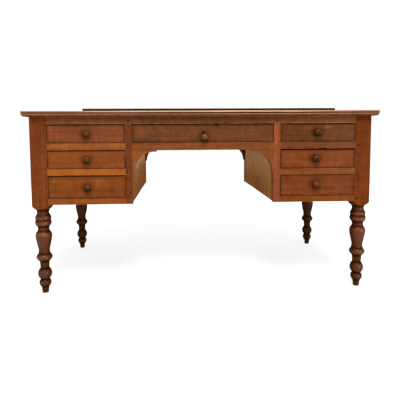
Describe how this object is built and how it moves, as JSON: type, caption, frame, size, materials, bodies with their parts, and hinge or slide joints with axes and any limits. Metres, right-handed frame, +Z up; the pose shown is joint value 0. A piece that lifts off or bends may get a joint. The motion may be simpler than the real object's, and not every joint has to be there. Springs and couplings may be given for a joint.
{
  "type": "writing table",
  "caption": "Kneehole writing table in reddish-brown wood on turned legs, with pedestals of drawers, a drawer over the kneehole, round knobs and a leather writing pad.",
  "frame": {"origin": "on the floor under the middle of the top", "axes": "+X to the right along the front, -Y towards the sitter, +Z up"},
  "size_m": [1.478, 0.79, 0.781],
  "materials": {
    "top_wood": "satin varnish, reddish brown",
    "frame_wood": "satin varnish, reddish brown",
    "rail_wood": "satin varnish, orange brown",
    "drawer_front_wood": "satin varnish, reddish brown",
    "leg_wood": "satin varnish, dark reddish brown",
    "panel_wood": "satin varnish, reddish brown",
    "kneehole_wood": "thin worn varnish, olive brown",
    "runner_wood": "bare wood",
    "drawer_box_wood": "bare wood",
    "knob_wood": "polished, dark reddish brown",
    "peg_wood": "end grain, dark",
    "pad_leather": "dark green hide",
    "lock_steel": "dull steel",
    "bolt_brass": "dull brass"
  },
  "bodies": {
    "carcase": {"back_panels": "panel_wood", "drawer_blades_left": "rail_wood", "drawer_blades_right": "rail_wood", "front_bottom_rails": "rail_wood", "front_brackets": "frame_wood", "front_centre_rail": "frame_wood", "front_stile_left": "frame_wood", "front_stile_right": "frame_wood", "front_top_rail": "frame_wood", "joint_pegs": "peg_wood", "kneehole_panel_left": "kneehole_wood", "kneehole_panel_right": "kneehole_wood", "leg_front_left": "leg_wood", "leg_front_right": "leg_wood", "leg_rear_left": "leg_wood", "leg_rear_right": "leg_wood", "rear_bottom_rails": "rail_wood", "rear_brackets": "frame_wood", "rear_centre_panel": "panel_wood", "rear_centre_rail": "frame_wood", "rear_stile_left": "frame_wood", "rear_stile_right": "frame_wood", "rear_top_rail": "frame_wood", "runners_centre": "runner_wood", "runners_left": "runner_wood", "runners_right": "runner_wood", "side_panel_left": "panel_wood", "side_panel_right": "panel_wood", "top_board": "top_wood", "writing_pad": "pad_leather"},
    "drawer_left_top": {"drawer_left_top_bottom": "drawer_box_wood", "drawer_left_top_box": "drawer_box_wood", "drawer_left_top_front": "drawer_front_wood", "drawer_left_top_knob": "knob_wood"},
    "drawer_left_middle": {"drawer_left_middle_bottom": "drawer_box_wood", "drawer_left_middle_box": "drawer_box_wood", "drawer_left_middle_front": "drawer_front_wood", "drawer_left_middle_knob": "knob_wood"},
    "drawer_left_bottom": {"drawer_left_bottom_bottom": "drawer_box_wood", "drawer_left_bottom_box": "drawer_box_wood", "drawer_left_bottom_front": "drawer_front_wood", "drawer_left_bottom_knob": "knob_wood"},
    "drawer_centre": {"drawer_centre_bottom": "drawer_box_wood", "drawer_centre_box": "drawer_box_wood", "drawer_centre_front": "drawer_front_wood", "drawer_centre_knob": "knob_wood", "lock_case": "lock_steel"},
    "drawer_right_top": {"drawer_right_top_bottom": "drawer_box_wood", "drawer_right_top_box": "drawer_box_wood", "drawer_right_top_front": "drawer_front_wood", "drawer_right_top_knob": "knob_wood"},
    "drawer_right_middle": {"drawer_right_middle_bottom": "drawer_box_wood", "drawer_right_middle_box": "drawer_box_wood", "drawer_right_middle_front": "drawer_front_wood", "drawer_right_middle_knob": "knob_wood"},
    "drawer_right_bottom": {"drawer_right_bottom_bottom": "drawer_box_wood", "drawer_right_bottom_box": "drawer_box_wood", "drawer_right_bottom_front": "drawer_front_wood", "drawer_right_bottom_knob": "knob_wood"},
    "lock_bolt": {"lock_bolt": "bolt_brass"}
  },
  "joints": [
    {"name": "drawer_left_top_slide", "type": "slide", "parent": "carcase", "child": "drawer_left_top", "axis": [0, -1, 0], "range_m": [0, 0.45]},
    {"name": "drawer_left_middle_slide", "type": "slide", "parent": "carcase", "child": "drawer_left_middle", "axis": [0, -1, 0], "range_m": [0, 0.45]},
    {"name": "drawer_left_bottom_slide", "type": "slide", "parent": "carcase", "child": "drawer_left_bottom", "axis": [0, -1, 0], "range_m": [0, 0.45]},
    {"name": "drawer_centre_slide", "type": "slide", "parent": "carcase", "child": "drawer_centre", "axis": [0, -1, 0], "range_m": [0, 0.45]},
    {"name": "drawer_right_top_slide", "type": "slide", "parent": "carcase", "child": "drawer_right_top", "axis": [0, -1, 0], "range_m": [0, 0.45]},
    {"name": "drawer_right_middle_slide", "type": "slide", "parent": "carcase", "child": "drawer_right_middle", "axis": [0, -1, 0], "range_m": [0, 0.45]},
    {"name": "drawer_right_bottom_slide", "type": "slide", "parent": "carcase", "child": "drawer_right_bottom", "axis": [0, -1, 0], "range_m": [0, 0.45]},
    {"name": "lock_bolt_slide", "type": "slide", "parent": "drawer_centre", "child": "lock_bolt", "axis": [0, 0, 1], "range_m": [0, 0.009]}
  ]
}
